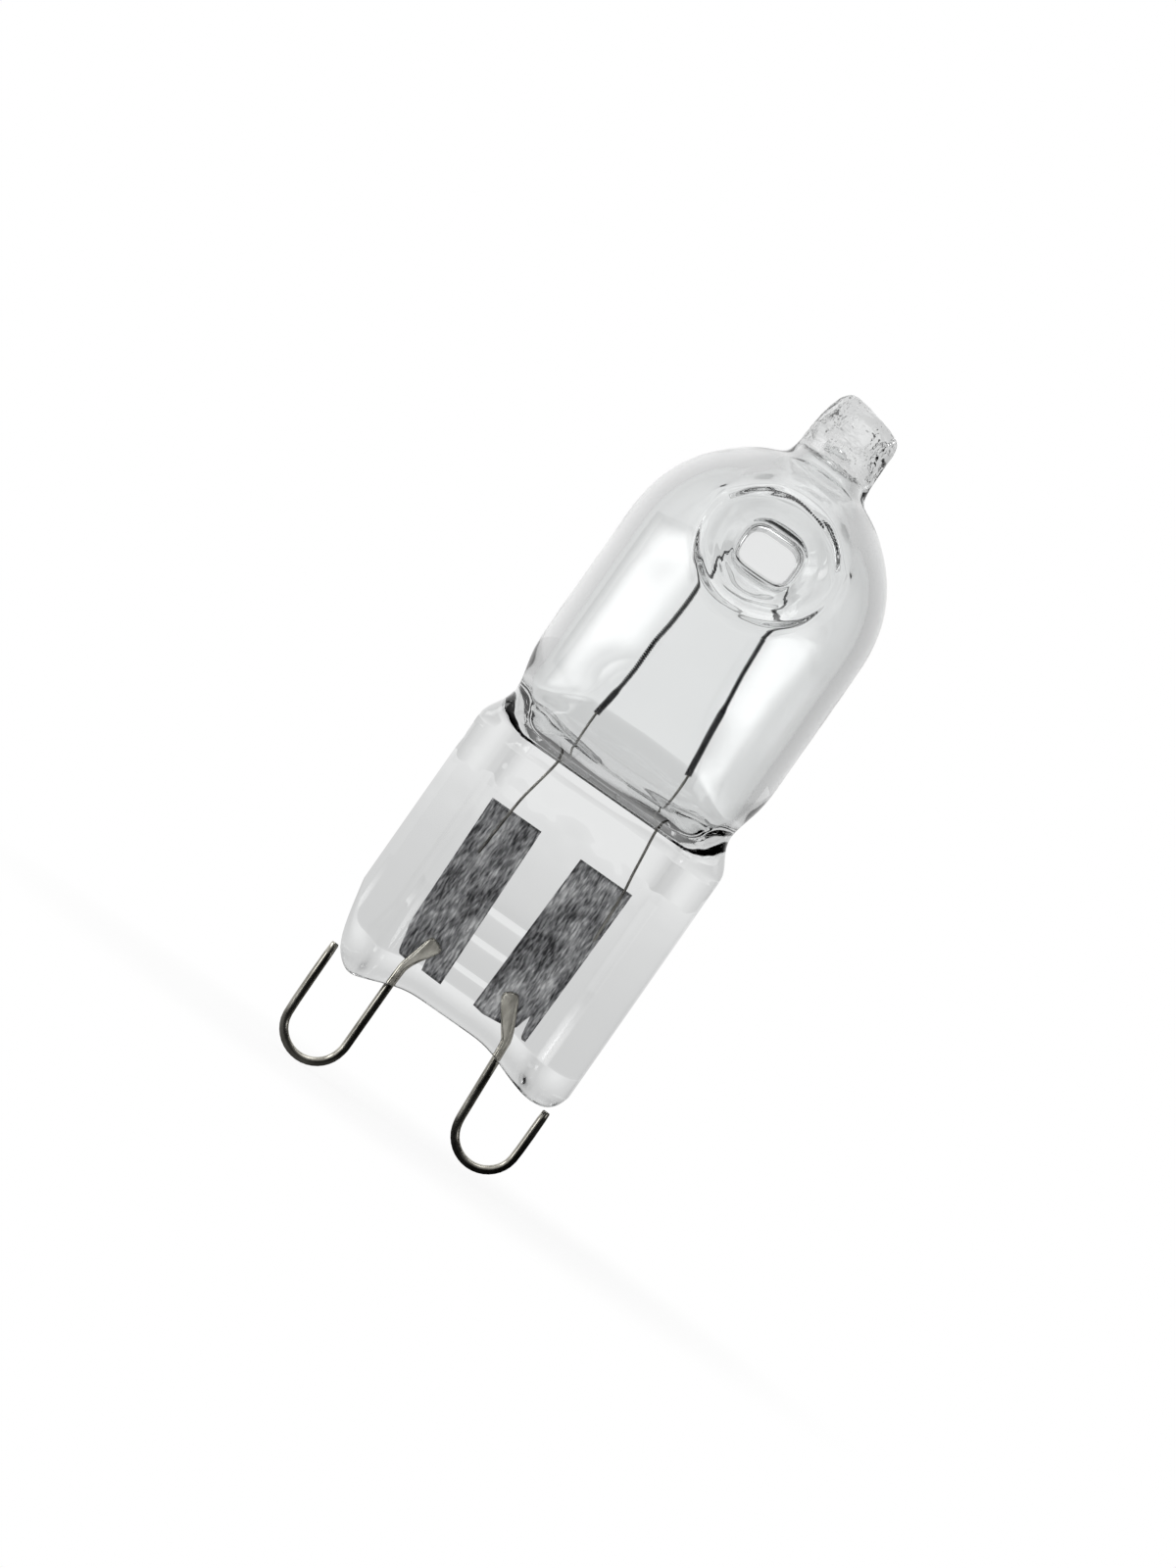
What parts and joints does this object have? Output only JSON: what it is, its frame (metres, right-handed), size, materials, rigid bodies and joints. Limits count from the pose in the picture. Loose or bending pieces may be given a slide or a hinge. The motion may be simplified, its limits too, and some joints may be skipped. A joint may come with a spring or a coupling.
{
  "type": "halogen capsule bulb",
  "caption": "Clear quartz halogen capsule lamp with a flat pressed seal and wire contact loops, a filament hooked over a glass bridge.",
  "frame": {"origin": "middle of the bottom face of the pressed seal's web, between the two contact loops", "axes": "+Z along the lamp's axis towards the exhaust tip, X across the two contact loops, Y through the thickness of the seal"},
  "size_m": [0.0136, 0.013, 0.0399],
  "materials": {
    "quartz_glass": "clear fused quartz, fire-polished, pressed at the seal",
    "contact_wire": "drawn round wire, bright, dull grey where it was heated in the seal",
    "molybdenum_foil": "thin rolled foil, mottled dark grey",
    "lead_wire": "thin drawn wire, grey",
    "tungsten": "coiled wire, dark grey"
  },
  "bodies": {
    "root": {"glass_envelope": "quartz_glass", "left_contact_loop": "contact_wire", "right_contact_loop": "contact_wire", "left_foil": "molybdenum_foil", "right_foil": "molybdenum_foil", "left_inner_lead": "lead_wire", "right_inner_lead": "lead_wire", "filament": "tungsten"}
  },
  "joints": []
}
